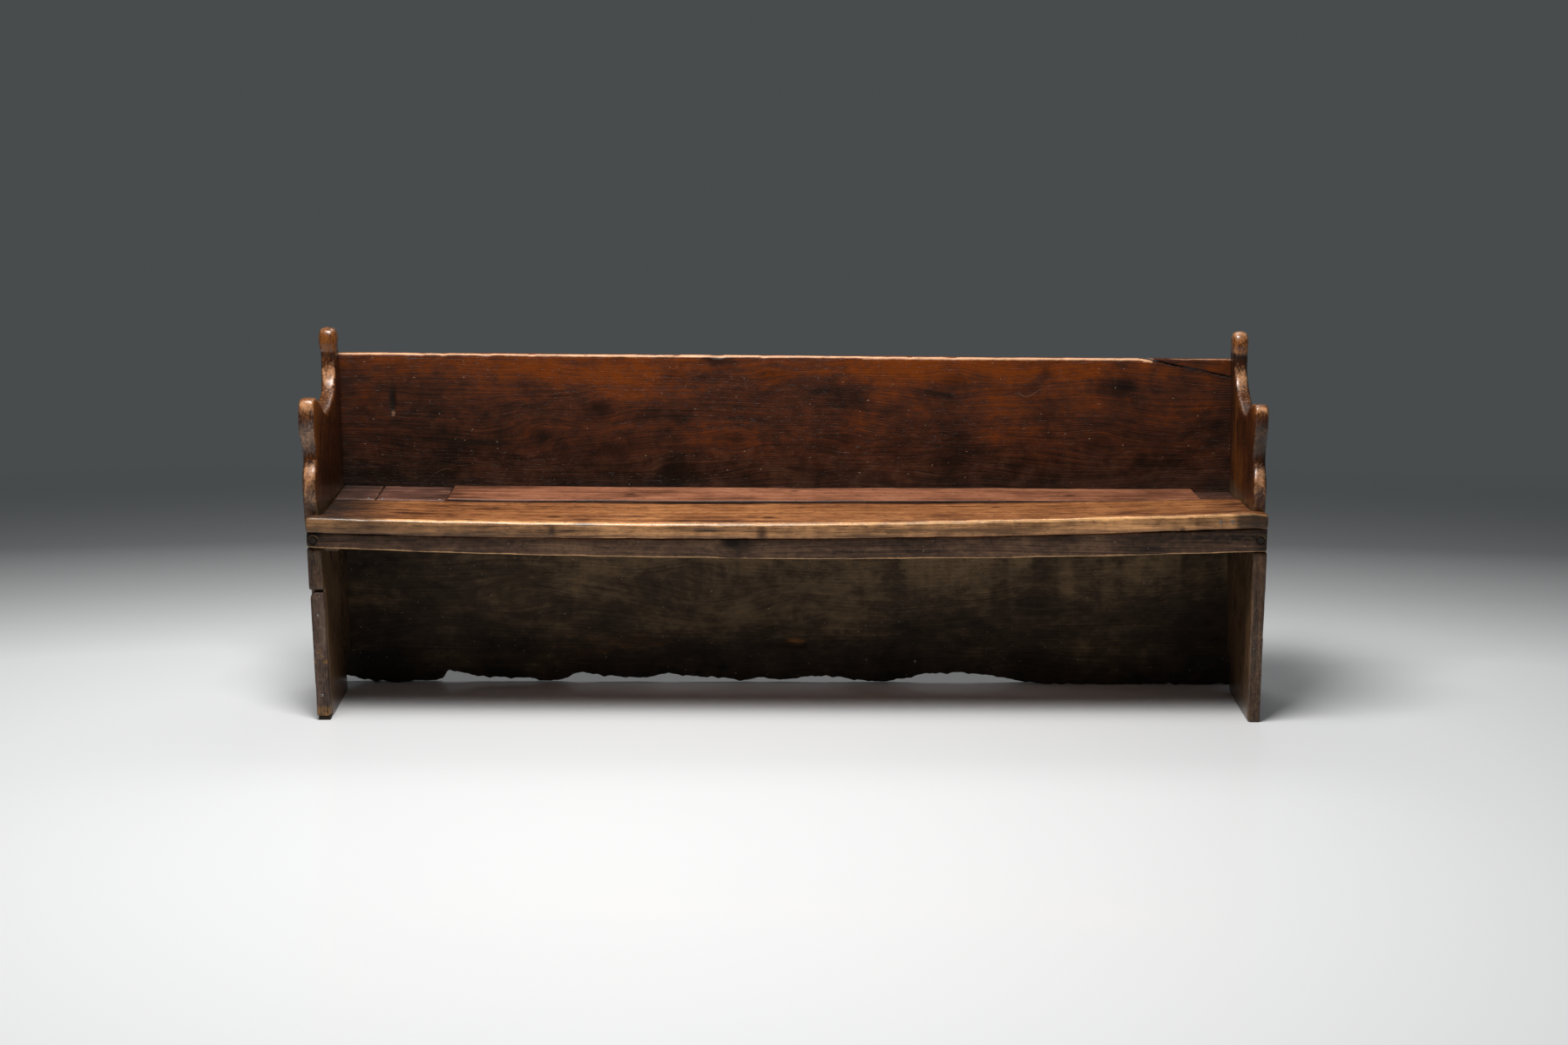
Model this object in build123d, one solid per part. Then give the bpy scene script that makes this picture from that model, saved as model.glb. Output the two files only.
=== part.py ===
from build123d import *
import os
from math import atan2, cos, degrees, radians, sin, tan

# An old plank bench. Two shaped end boards carry a long seat plank, an apron under
# its front and a back of two wide boards nailed to their rear edges. Behind the seat
# plank lies a strip with short patches at both ends. Nothing on it moves.
# Millimetres. +X is the bench's right, -Y its front and +Z is up.
# Inside the functions, depth is counted back from the front face of the legs.

# End boards
bench_length = 2016
end_thickness = 28
left_end_lean = 0.019
right_end_lean = 0.005
lean_pivot_height = 450
leg_depth = 236
rear_edge_at_floor = 289
back_rake = 4.2
heel_notch_height = 75

# Arms of the end boards: the shoulder above the seat, the neck above the shoulder, and on
shoulder_rise = 50
neck_rise = 65
neck_setback = 27
left_lobe_rise = 118
right_lobe_rise = 112
lobe_setback = 9
lobe_front_drop = 36
lobe_crest_setback = 26
valley_rise = 68
valley_depth = 160

# Posts and finials of the end boards, the crease just above the back's left end
post_foot_rise = 21
post_foot_depth = 240
post_front_depth = 296
crease_rise = 3
crease_width = 7
crease_inset = 5
finial_height = 54
finial_round = 30

# Seat surface, at the front edge and where it meets the back
seat_front_left = 445
seat_front_right = 461
seat_front_sag = 18.5
seat_rear_left = 446
seat_rear_right = 444
seat_rear_sag = 6.5
seat_overhang = 12
seat_thickness = 34
seat_nosing_radius = 9
seat_lower_radius = 4

# Boards of the seat
front_plank_depth = 192
seat_seam = 2.5
strip_rise = 4
right_fill_drop = 7
left_outer_fill_length = 88
left_inner_fill_length = 151
right_fill_length = 84

# Apron
apron_recess = 8
apron_thickness = 26
apron_bottom_left = 378
apron_bottom_right = 374
apron_bottom_middle = 356

# Back boards
back_thickness = 24
back_joint_drop = 30
back_joint_gap = 1
upper_back_top_left = 739
upper_back_top_right = 729
splinter_length = 214
splinter_drop = 46
crack_width = 3
pocket_middle = 18
pocket_width = 66
pocket_height = 24
pocket_depth = 13
pocket_sill_height = 82

# Highs and lows of the lower back board's gnawed edge: share of the half length, height
gnawed_edge = [
    (-0.93, 6),
    (-0.77, 6),
    (-0.745, 30),
    (-0.66, 15),
    (-0.53, 9),
    (-0.45, 22),
    (-0.31, 15),
    (-0.27, 20),
    (-0.08, 11),
    (0.10, 20),
    (0.20, 8),
    (0.37, 28),
    (0.60, 5),
]
gnawed_left_height = 18
gnawed_right_height = 4

# Leg splice and shim
splice_depth = 24
splice_top = 285
splice_round = 8
shim_height = 9
shim_inset = 3

# Bearers, ledger and battens under the seat
bearer_width = 34
bearer_height = 46
ledger_depth = 30
ledger_height = 40
ledger_end_gap = 2
batten_width = 50
batten_height = 28
middle_batten_place = 80

# Nails and pegs
nail_shank = 4
nail_head = 10
nail_head_height = 2
back_nail_length = 60
bearer_nail_length = 56
ledger_nail_length = 48
batten_nail_length = 50
small_nail_shank = 2.4
small_nail_head = 6
small_nail_head_height = 1
fill_nail_length = 52
splice_nail_length = 55
tack_length = 22
peg_diameter = 15
peg_hold = 42
peg_proud = 1.5

# Places of nails
back_nail_margin = 45
bearer_nail_margin = 45
ledger_nail_count = 5
ledger_nail_margin = 110
fill_nail_inset = 14
batten_nail_inset = 30
splice_nail_margin = 55
tack_from_end_board = 48
tack_spacing = 24

# Clearances
touch_gap = 0.2
batten_gap = 0.4
nail_clearance = 0.15
board_end_gap = 0.8
back_edge_gap = 0.5

# Places worked out from the sizes above
half_length = bench_length / 2
seat_front = -seat_overhang
apron_front = seat_front + apron_recess
apron_rear = apron_front + apron_thickness
arm_front = apron_rear + touch_gap
rake_slope = tan(radians(back_rake))
seat_rear = rear_edge_at_floor + rake_slope * seat_rear_left
back_joint_height = (seat_rear_left + seat_rear_right) / 2 - back_joint_drop
shoulder_height = (seat_front_left + seat_front_right) / 2 + shoulder_rise
neck_height = shoulder_height + neck_rise
valley_height = neck_height + valley_rise
post_foot_height = valley_height + post_foot_rise
crease_height = upper_back_top_left + crease_rise
finial_top = crease_height + finial_height
plank_rear = seat_front + front_plank_depth
strip_front = plank_rear + seat_seam
back_plane = Plane(
    origin=(0, rear_edge_at_floor, 0),
    x_dir=(1, 0, 0),
    z_dir=(0, -cos(radians(back_rake)), sin(radians(back_rake))),
)
beyond = bench_length
LEFT = -1
RIGHT = 1


def rear_edge(height):
    """Depth of the end boards' rear edge at a height."""
    return rear_edge_at_floor + rake_slope * height


def up_the_back(height):
    """Distance along the raked back for a height above the floor."""
    return height / cos(radians(back_rake))


def outer_face(side, height):
    """X of an end board's outer face; both ends lean the same way."""
    lean = left_end_lean if side == LEFT else right_end_lean
    return side * half_length - lean * (height - lean_pivot_height)


def inner_face(side, height):
    """X of an end board's inner face."""
    return outer_face(side, height) - side * end_thickness


def seat_top(x, y):
    """Height of the worn seat: sagging along X and slightly twisted along Y."""
    along = x / half_length

    def edge_height(left, right, sag):
        return (left + right) / 2 + (right - left) / 2 * along - sag * (1 - along**2)

    front = edge_height(seat_front_left, seat_front_right, seat_front_sag)
    rear = edge_height(seat_rear_left, seat_rear_right, seat_rear_sag)
    return front + (rear - front) * (y - seat_front) / (seat_rear - seat_front)


def seat_under(x, y):
    """Height of the seat's underside."""
    return seat_top(x, y) - seat_thickness


def apron_bottom(x, y):
    """Height of the apron's bowed lower edge."""
    along = x / half_length
    mean = (apron_bottom_left + apron_bottom_right) / 2
    tilt = (apron_bottom_right - apron_bottom_left) / 2
    return apron_bottom_middle + tilt * along + (mean - apron_bottom_middle) * along**2


def cross_section(x_range, y, bottom, top):
    """Upright face across the bench at one depth, between two height curves."""
    first, last = x_range
    places = (first, (first + last) / 2, last)
    lower = Spline([(x, y, bottom(x, y)) for x in places])
    upper = Spline([(x, y, top(x, y)) for x in reversed(places)])
    right = Line(lower @ 1, upper @ 0)
    left = Line(upper @ 1, lower @ 0)
    return make_face([lower, right, upper, left])


def curved_board(x_range, y_range, bottom, top):
    """Board whose long faces follow height curves at its front and its rear."""
    return loft([cross_section(x_range, y, bottom, top) for y in y_range], ruled=True)


def end_slab(side, y_range, inset, thickness):
    """Leaning slab, inset from an end board's outer face."""
    heights = (-beyond, beyond)
    near = [(outer_face(side, z) - side * inset, z) for z in heights]
    far = [(outer_face(side, z) - side * (inset + thickness), z) for z in heights]
    outline = Polyline(near[0], near[1], far[1], far[0], close=True)
    y_first, y_last = y_range
    plane = Plane(origin=(0, y_last, 0), x_dir=(1, 0, 0), z_dir=(0, -1, 0))
    return extrude(plane * make_face(outline), y_last - y_first)


def behind_back(gap):
    """Everything behind the raked front face of the back boards, less a gap."""
    block = Box(2 * beyond, 2 * beyond, beyond, align=(Align.CENTER, Align.CENTER, Align.MAX))
    return back_plane.location * Pos(0, 0, gap) * block


def square_at(side, height):
    return Pos(0, 0, height) * Rectangle(side, side)


def nail(shank, head, head_height, length):
    """Forged nail: a low square head, a square shank along -Z and a point."""
    point_start = 2 * shank - length
    body = loft([square_at(head, 0), square_at(head / 2, head_height)])
    body += loft([square_at(shank, 0), square_at(shank, point_start)])
    body += loft([square_at(shank, point_start), square_at(shank / 4, -length)])
    return body


def nail_hole(shank, length):
    """Room for a nail's shank, from its head down."""
    width = shank + 2 * nail_clearance
    return Box(width, width, length + nail_clearance, align=(Align.CENTER, Align.CENTER, Align.MAX))


def big_nail(length):
    return nail(nail_shank, nail_head, nail_head_height, length)


def small_nail(length):
    return nail(small_nail_shank, small_nail_head, small_nail_head_height, length)


def big_holes(places, length):
    return [place * nail_hole(nail_shank, length) for place in places]


def small_holes(places, length):
    return [place * nail_hole(small_nail_shank, length) for place in places]


def back_nail_places(side, heights):
    """Nails through the back boards into an end board's rear edge."""
    places = []
    for height in heights:
        x = outer_face(side, height) - side * end_thickness / 2
        spot = Pos(x, up_the_back(height), -back_thickness) * Rot(180, 0, 0)
        places.append(back_plane.location * spot)
    return places


def spread(first, last, count):
    """Evenly spaced values from first to last."""
    step = (last - first) / (count - 1)
    return [first + step * index for index in range(count)]


# The crack that splits a wedge off the back's top right corner, at its two ends
crack_tip_x = half_length - splinter_length
crack_end_height = upper_back_top_right - splinter_drop


def back_top(x):
    """Height of the upper back board's top edge, which falls to the right."""
    share = (x + half_length) / bench_length
    return upper_back_top_left + (upper_back_top_right - upper_back_top_left) * share


# Heights of the nails in each end of the back boards
lower_nail_heights = spread(
    heel_notch_height + back_nail_margin,
    back_joint_height - back_nail_margin,
    3,
)
upper_left_nail_heights = spread(
    back_joint_height + back_nail_margin,
    upper_back_top_left - back_nail_margin,
    3,
)
upper_right_nail_heights = spread(
    back_joint_height + back_nail_margin,
    crack_end_height - back_nail_margin / 2,
    3,
)
splinter_nail_height = upper_back_top_right - splinter_drop / 2

lower_back_nail_places = {
    LEFT: back_nail_places(LEFT, lower_nail_heights),
    RIGHT: back_nail_places(RIGHT, lower_nail_heights),
}
upper_back_nail_places = {
    LEFT: back_nail_places(LEFT, upper_left_nail_heights),
    RIGHT: back_nail_places(RIGHT, upper_right_nail_heights + [splinter_nail_height]),
}

# Seams between the short patches and the long rear strip
left_fill_start = inner_face(LEFT, seat_rear_left) + board_end_gap
left_outer_seam = left_fill_start + left_outer_fill_length
left_inner_seam = left_outer_seam + seat_seam + left_inner_fill_length
right_fill_end = inner_face(RIGHT, seat_rear_right - seat_thickness) - board_end_gap
right_seam = right_fill_end - right_fill_length

# Battens lie under the seams and near the middle
batten_places = {
    "outer_left": left_outer_seam,
    "inner_left": left_inner_seam,
    "middle": middle_batten_place,
    "right": right_seam,
}

# Depth at which the ledger's front face stands under the seat
ledger_front = rear_edge(seat_rear_left - seat_thickness - ledger_height) - ledger_depth
batten_front = apron_rear + seat_seam
batten_rear = ledger_front - seat_seam
batten_middle = (batten_front + batten_rear) / 2


def bearer_top(x, y):
    return seat_under(x, y) - touch_gap


def bearer_nail_places(side):
    """Nails through a bearer into the end board beside it."""
    lowest = min(seat_under(inner_face(side, 0), y) for y in (apron_rear, seat_rear))
    height = lowest - bearer_height / 2
    x = inner_face(side, height) - side * (bearer_width + touch_gap)
    depths = spread(apron_rear + bearer_nail_margin, batten_rear - bearer_nail_margin, 3)
    return [Pos(x, y, height) * Rot(0, -side * 90, 0) for y in depths]


def ledger_nail_places():
    """Nails through the ledger into the lower back board."""
    reach = half_length - ledger_nail_margin
    height = seat_under(0, seat_rear) - ledger_height / 2
    spots = spread(-reach, reach, ledger_nail_count)
    return [
        back_plane.location * Pos(x, up_the_back(height), ledger_depth + touch_gap)
        for x in spots
    ]


def under_seat(x):
    """Plane lying flat against the seat's underside at a batten."""
    y = batten_middle
    along = seat_under(x + 1, y) - seat_under(x, y)
    across = seat_under(x, y + 1) - seat_under(x, y)
    return Plane(
        origin=(x, y, seat_under(x, y) - batten_gap),
        x_dir=(1, 0, along),
        z_dir=(-along, -across, 1),
    )


def batten_nail_places(x):
    """Nails up through a batten: two into the front plank, two into what lies behind."""
    front_depths = spread(apron_rear + bearer_nail_margin, plank_rear - bearer_nail_margin, 2)
    rear_depths = spread(strip_front + batten_nail_inset, batten_rear - fill_nail_inset, 2)
    offset = batten_width / 4
    places = []
    for index, y in enumerate(front_depths + rear_depths):
        spot = Pos(offset * (-1) ** index, y - batten_middle, -batten_height - touch_gap)
        places.append(under_seat(x).location * spot * Rot(180, 0, 0))
    return places


def fill_nail_places():
    """Small nails down through the patches into the battens under their seams."""
    y = strip_front + fill_nail_inset / 2
    left_spots = (
        left_outer_seam - fill_nail_inset,
        left_outer_seam + seat_seam + fill_nail_inset,
        left_inner_seam - fill_nail_inset,
    )
    places = [Pos(x, y, seat_top(x, y) + touch_gap) for x in left_spots]
    right_spot = right_seam + seat_seam + fill_nail_inset
    right_top = seat_top(right_spot, y) - right_fill_drop
    return places + [Pos(right_spot, y, right_top + touch_gap)]


def splice_nail_places():
    """Small nails through the splice's front into the left leg."""
    heights = (splice_nail_margin, splice_top - splice_nail_margin)
    return [
        Pos(outer_face(LEFT, z) + end_thickness / 2, 0, z) * Rot(90, 0, 0)
        for z in heights
    ]


def tack_places():
    """Two tacks left in the front edge of the seat, near its right end."""
    first = inner_face(RIGHT, seat_front_right) - tack_from_end_board
    places = []
    for x in (first, first - tack_spacing):
        height = seat_top(x, seat_front) - seat_thickness / 2
        places.append(Pos(x, seat_front, height) * Rot(90, 0, 0))
    return places


def leg_top(side):
    """Height of the shoulder that the apron's end stands on."""
    faces = (outer_face(side, apron_bottom_left), inner_face(side, apron_bottom_left))
    return min(apron_bottom(x, 0) for x in faces) - touch_gap


def end_profile(side):
    """Side view of an end board, in depth and height."""
    arm_top = neck_height + (left_lobe_rise if side == LEFT else right_lobe_rise)
    foot = leg_top(side)
    up = (0, 1)
    down = (0, -1)
    back = (1, 0)
    falling_back = (1, -0.3)
    shoulder = (arm_front, shoulder_height)
    neck = (arm_front + neck_setback, neck_height)
    lobe_front = (arm_front + lobe_setback, arm_top - lobe_front_drop)
    lobe_crest = (arm_front + lobe_crest_setback, arm_top)
    valley = (valley_depth, valley_height)
    post_foot = (post_foot_depth, post_foot_height)
    crease_foot = (post_front_depth, crease_height - crease_width / 2)
    crease = (post_front_depth + crease_inset, crease_height)
    crease_head = (post_front_depth, crease_height + crease_width / 2)
    finial_front = (post_front_depth, finial_top - finial_round)
    finial_rear = (rear_edge(finial_top - finial_round), finial_top - finial_round)
    crest = ((finial_front[0] + finial_rear[0]) / 2, finial_top)
    notch_rear = (rear_edge(heel_notch_height), heel_notch_height)
    notch_inner = (leg_depth, heel_notch_height)
    edges = [
        Polyline((0, 0), (0, foot), (arm_front, foot), shoulder),
        Spline(shoulder, neck, tangents=[up, up]),
        Spline(neck, lobe_front, tangents=[up, up]),
        Spline(lobe_front, lobe_crest, tangents=[up, back]),
        Spline(lobe_crest, valley, tangents=[back, falling_back]),
        Spline(valley, post_foot, crease_foot, tangents=[back, up]),
        Polyline(crease_foot, crease, crease_head, finial_front),
        Spline(finial_front, crest, finial_rear, tangents=[up, down]),
        Polyline(finial_rear, notch_rear, notch_inner, (leg_depth, 0), (0, 0)),
    ]
    return Plane.YZ * make_face(edges)


def end_blank(side):
    """Whole end board, before it is drilled or spliced."""
    prism = extrude(end_profile(side), amount=beyond, both=True)
    return prism & end_slab(side, (-beyond, beyond), 0, end_thickness)


def splice_room(gap):
    """Corner of the left leg that the splice fills, from below the floor up."""
    low = -beyond
    high = splice_top + gap
    room = Box(2 * beyond, splice_depth + gap + beyond, high - low)
    return Pos(0, (splice_depth + gap - beyond) / 2, (high + low) / 2) * room


def end_board(side):
    holes = big_holes(lower_back_nail_places[side] + upper_back_nail_places[side], back_nail_length)
    holes += big_holes(bearer_nail_places(side), bearer_nail_length)
    holes += [peg_hole(side)]
    if side == LEFT:
        holes += small_holes(splice_nail_places(), splice_nail_length)
        holes += [splice_room(touch_gap)]
    return end_blank(side) - holes


def left_leg_splice():
    """New front strip let into the foot of the left leg."""
    above_shim = Pos(0, 0, shim_height) * Box(
        2 * beyond, 2 * beyond, beyond, align=(Align.CENTER, Align.CENTER, Align.MIN)
    )
    strip = end_blank(LEFT) & splice_room(0) & above_shim
    top_edges = strip.edges().filter_by(Axis.Y).group_by(Axis.Z)[-1]
    strip = fillet(top_edges.sort_by(Axis.X)[0], splice_round)
    return strip - small_holes(splice_nail_places(), splice_nail_length)


def left_foot_shim():
    """Dark slip of wood that levels the spliced leg."""
    slab = end_slab(LEFT, (shim_inset, splice_depth), shim_inset, end_thickness - shim_inset)
    layer = Box(2 * beyond, 2 * beyond, shim_height, align=(Align.CENTER, Align.CENTER, Align.MIN))
    return slab & layer


def back_blank(low, top_left, top_right):
    """Back board from a height up to its sloping top edge, over both end boards."""
    corners = [
        (outer_face(LEFT, low), up_the_back(low)),
        (outer_face(RIGHT, low), up_the_back(low)),
        (outer_face(RIGHT, top_right), up_the_back(top_right)),
        (outer_face(LEFT, top_left), up_the_back(top_left)),
    ]
    face = back_plane * make_face(Polyline(*corners, close=True))
    return extrude(face, -back_thickness)


def splinter_zone(gap):
    """Wedge above the crack, lowered by the crack's width where a gap is given."""
    far = half_length + splinter_length
    fall = splinter_drop / splinter_length
    tip = up_the_back(back_top(crack_tip_x)) - gap
    rise = splinter_drop
    corners = [
        (crack_tip_x - rise / fall, tip + rise),
        (crack_tip_x, tip),
        (far, tip - fall * (far - crack_tip_x)),
        (far, tip + rise),
    ]
    face = back_plane * make_face(Polyline(*corners, close=True))
    return extrude(face, beyond, both=True)


def upper_back_board():
    board = back_blank(back_joint_height, upper_back_top_left, upper_back_top_right)
    places = upper_back_nail_places[LEFT] + upper_back_nail_places[RIGHT]
    return board - big_holes(places, back_nail_length) - splinter_zone(crack_width)


def back_corner_splinter():
    board = back_blank(back_joint_height, upper_back_top_left, upper_back_top_right)
    wedge = board & splinter_zone(0)
    return wedge - big_holes(upper_back_nail_places[RIGHT], back_nail_length)


def broken_pocket():
    """Half-moon pocket where a piece broke out of the lower back board, deepest along its sill."""
    sill = up_the_back(pocket_sill_height)
    left = (pocket_middle - pocket_width / 2, sill)
    right = (pocket_middle + pocket_width / 2, sill)
    arch = ThreePointArc(right, (pocket_middle, sill + pocket_height), left)
    half_moon = extrude(back_plane * make_face([Line(left, right), arch]), beyond, both=True)
    slope = degrees(atan2(pocket_depth, pocket_height))
    in_front = Box(2 * beyond, 2 * beyond, beyond, align=(Align.CENTER, Align.CENTER, Align.MIN))
    return half_moon & (back_plane.location * Pos(0, sill + pocket_height) * Rot(slope, 0, 0) * in_front)


def lower_back_board():
    """Wide board down to the floor, its lower edge gnawed away in bites."""
    top = back_joint_height - back_joint_gap
    left_foot = (outer_face(LEFT, 0), up_the_back(gnawed_left_height))
    right_foot = (outer_face(RIGHT, 0), up_the_back(gnawed_right_height))
    bites = [(share * half_length, up_the_back(height)) for share, height in gnawed_edge]
    edge_points = [left_foot, *bites, right_foot]
    level = (1, 0)
    edges = [
        Spline(edge_points, tangents=[level] * len(edge_points)),
        Polyline(
            right_foot,
            (outer_face(RIGHT, top), up_the_back(top)),
            (outer_face(LEFT, top), up_the_back(top)),
            left_foot,
        ),
    ]
    board = extrude(back_plane * make_face(edges), -back_thickness)
    places = lower_back_nail_places[LEFT] + lower_back_nail_places[RIGHT]
    holes = big_holes(places, back_nail_length) + big_holes(ledger_nail_places(), ledger_nail_length)
    return board - holes - broken_pocket()


def seat_front_plank():
    """Long plank whose ears reach across the front of both end boards."""
    plank = curved_board((-half_length, half_length), (seat_front, plank_rear), seat_under, seat_top)
    front_edges = plank.faces().sort_by(Axis.Y)[0].edges().sort_by(Axis.Z)
    long_edges = [edge for edge in front_edges if edge.length > half_length]
    plank = fillet(long_edges[-1], seat_nosing_radius)
    lower_edges = plank.faces().sort_by(Axis.Y)[0].edges().sort_by(Axis.Z)
    long_edges = [edge for edge in lower_edges if edge.length > half_length]
    plank = fillet(long_edges[0], seat_lower_radius)
    past_end_board = beyond + end_thickness + board_end_gap
    for side in (LEFT, RIGHT):
        plank -= end_slab(side, (apron_rear, beyond), -beyond, past_end_board)
    holes = small_holes(tack_places(), tack_length)
    for x in batten_places.values():
        holes += big_holes(batten_nail_places(x), batten_nail_length)
    return plank - holes


def rear_seat_board(x_range, rise):
    """Piece of the seat behind the plank, cut off along the raked back."""

    def top(x, y):
        return seat_top(x, y) + rise

    board = curved_board(x_range, (strip_front, seat_rear + back_thickness), seat_under, top)
    board -= behind_back(back_edge_gap)
    holes = small_holes(fill_nail_places(), fill_nail_length)
    for x in batten_places.values():
        holes += big_holes(batten_nail_places(x), batten_nail_length)
    return board - holes


def front_apron_rail():
    x_range = (-half_length, half_length)
    rail = curved_board(x_range, (apron_front, apron_rear), apron_bottom, bearer_top)
    return rail - [peg_hole(LEFT), peg_hole(RIGHT)]


def peg_place(side):
    """Middle of an apron end, over the end board's edge."""
    x = side * (half_length - end_thickness / 2)
    height = (apron_bottom(x, 0) + seat_under(x, 0)) / 2
    return Pos(x, apron_front, height) * Rot(90, 0, 0)


def peg_solid(radius, extra):
    """Peg along -Z from its proud head."""
    length = apron_thickness + peg_hold + extra
    body = Cylinder(radius, length, align=(Align.CENTER, Align.CENTER, Align.MAX))
    return body + Cylinder(radius, peg_proud, align=(Align.CENTER, Align.CENTER, Align.MIN))


def peg_hole(side):
    return peg_place(side) * peg_solid(peg_diameter / 2 + nail_clearance, nail_clearance)


def seat_bearer(side):
    """Cleat on an end board's inner face, its top shaped to the seat."""
    foot = inner_face(side, 0)
    x_range = (foot - 3 * bearer_width, foot + 3 * bearer_width)
    y_range = (apron_rear + touch_gap, seat_rear + back_thickness)

    def bottom(x, y):
        return seat_under(foot, y) - bearer_height

    cleat = curved_board(x_range, y_range, bottom, bearer_top)
    cleat &= end_slab(side, (-beyond, beyond), end_thickness + touch_gap, bearer_width - touch_gap)
    cleat -= behind_back(back_edge_gap)
    return cleat - big_holes(bearer_nail_places(side), bearer_nail_length)


def rear_seat_ledger():
    """Strip nailed along the back under the seat's rear edge."""
    lean_at_floor = left_end_lean * lean_pivot_height
    reach = half_length - end_thickness - bearer_width - ledger_end_gap - lean_at_floor
    y_range = (batten_rear, seat_rear + back_thickness)

    def bottom(x, y):
        return seat_under(x, seat_rear) - ledger_height

    strip = curved_board((-reach, reach), y_range, bottom, bearer_top)
    layer = back_plane.location * Box(
        2 * beyond, 2 * beyond, ledger_depth, align=(Align.CENTER, Align.CENTER, Align.MIN)
    )
    return (strip & layer) - big_holes(ledger_nail_places(), ledger_nail_length)


def seat_batten(x):
    """Short cross batten under the seat, tying its boards together."""
    under = (Align.CENTER, Align.CENTER, Align.MAX)
    batten = Box(batten_width, batten_rear - batten_front, batten_height, align=under)
    holes = big_holes(batten_nail_places(x), batten_nail_length)
    holes += small_holes(fill_nail_places(), fill_nail_length)
    return under_seat(x).location * batten - holes


def group(places, solid):
    """Copies of one solid, kept as separate solids."""
    return Compound([place * solid for place in places])


nodes = {
    "left_end_board": end_board(LEFT),
    "right_end_board": end_board(RIGHT),
    "left_leg_splice": left_leg_splice(),
    "left_foot_shim": left_foot_shim(),
    "upper_back_board": upper_back_board(),
    "back_corner_splinter": back_corner_splinter(),
    "lower_back_board": lower_back_board(),
    "seat_front_plank": seat_front_plank(),
    "seat_rear_strip": rear_seat_board((left_inner_seam + seat_seam, right_seam), strip_rise),
    "seat_fill_left_outer": rear_seat_board((left_fill_start, left_outer_seam), 0),
    "seat_fill_left_inner": rear_seat_board((left_outer_seam + seat_seam, left_inner_seam), 0),
    "seat_fill_right": rear_seat_board((right_seam + seat_seam, right_fill_end), -right_fill_drop),
    "front_apron_rail": front_apron_rail(),
    "left_seat_bearer": seat_bearer(LEFT),
    "right_seat_bearer": seat_bearer(RIGHT),
    "rear_seat_ledger": rear_seat_ledger(),
    "apron_pegs": group(
        [peg_place(side) for side in (LEFT, RIGHT)],
        peg_solid(peg_diameter / 2, 0),
    ),
    "upper_back_nails": group(
        upper_back_nail_places[LEFT] + upper_back_nail_places[RIGHT],
        big_nail(back_nail_length),
    ),
    "lower_back_nails": group(
        lower_back_nail_places[LEFT] + lower_back_nail_places[RIGHT],
        big_nail(back_nail_length),
    ),
    "bearer_nails": group(
        bearer_nail_places(LEFT) + bearer_nail_places(RIGHT),
        big_nail(bearer_nail_length),
    ),
    "ledger_nails": group(ledger_nail_places(), big_nail(ledger_nail_length)),
    "batten_nails": group(
        [place for x in batten_places.values() for place in batten_nail_places(x)],
        big_nail(batten_nail_length),
    ),
    "seat_fill_nails": group(fill_nail_places(), small_nail(fill_nail_length)),
    "leg_splice_nails": group(splice_nail_places(), small_nail(splice_nail_length)),
    "seat_edge_tacks": group(tack_places(), small_nail(tack_length)),
}
for name, x in batten_places.items():
    nodes["seat_batten_" + name] = seat_batten(x)

# Move everything so that the origin is under the middle of the whole bench
faces_x = [outer_face(side, z) for side in (LEFT, RIGHT) for z in (0, finial_top)]
front_most = seat_front - small_nail_head_height
top_of_back = max(upper_back_top_left, upper_back_top_right)
rear_most = rear_edge(top_of_back) + back_thickness * cos(radians(back_rake))
centred = Pos(-(min(faces_x) + max(faces_x)) / 2, -(front_most + rear_most) / 2, 0)

os.makedirs("parts", exist_ok=True)
for name, shape in nodes.items():
    export_step(centred * shape, f"parts/{name}.step")
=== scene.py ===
from itertools import product
from math import pi

import bmesh
import bpy
import numpy as np
from mathutils import Matrix, Vector


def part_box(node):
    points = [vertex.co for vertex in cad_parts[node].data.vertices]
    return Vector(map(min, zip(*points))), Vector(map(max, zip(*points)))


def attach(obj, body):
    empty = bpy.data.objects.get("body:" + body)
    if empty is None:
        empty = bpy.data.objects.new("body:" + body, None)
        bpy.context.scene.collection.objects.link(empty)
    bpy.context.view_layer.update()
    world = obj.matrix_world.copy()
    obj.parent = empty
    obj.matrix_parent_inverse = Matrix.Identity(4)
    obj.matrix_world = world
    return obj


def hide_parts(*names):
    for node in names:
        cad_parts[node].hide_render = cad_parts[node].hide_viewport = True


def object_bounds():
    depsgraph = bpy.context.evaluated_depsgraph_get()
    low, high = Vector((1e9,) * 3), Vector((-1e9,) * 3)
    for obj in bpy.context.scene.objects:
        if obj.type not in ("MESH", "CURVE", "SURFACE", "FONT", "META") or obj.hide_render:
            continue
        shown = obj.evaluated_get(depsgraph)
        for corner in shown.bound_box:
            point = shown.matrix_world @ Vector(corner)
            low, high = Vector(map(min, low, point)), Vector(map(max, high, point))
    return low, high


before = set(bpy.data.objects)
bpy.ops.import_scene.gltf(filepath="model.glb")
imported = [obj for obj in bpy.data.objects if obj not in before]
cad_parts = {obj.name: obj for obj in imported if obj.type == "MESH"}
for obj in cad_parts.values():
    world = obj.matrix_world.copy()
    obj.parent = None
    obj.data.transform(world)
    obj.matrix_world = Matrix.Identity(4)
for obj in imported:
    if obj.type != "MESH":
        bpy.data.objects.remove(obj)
cad_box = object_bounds()

# An old plank bench. Every board is a worn copy of its solid: its faces are made small and even,
# its arrises are rubbed round, and it is dented and nicked. Metres, in the bench's own frame.

X, Y, Z = 0, 1, 2
LEFT, RIGHT = -1, 1

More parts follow.
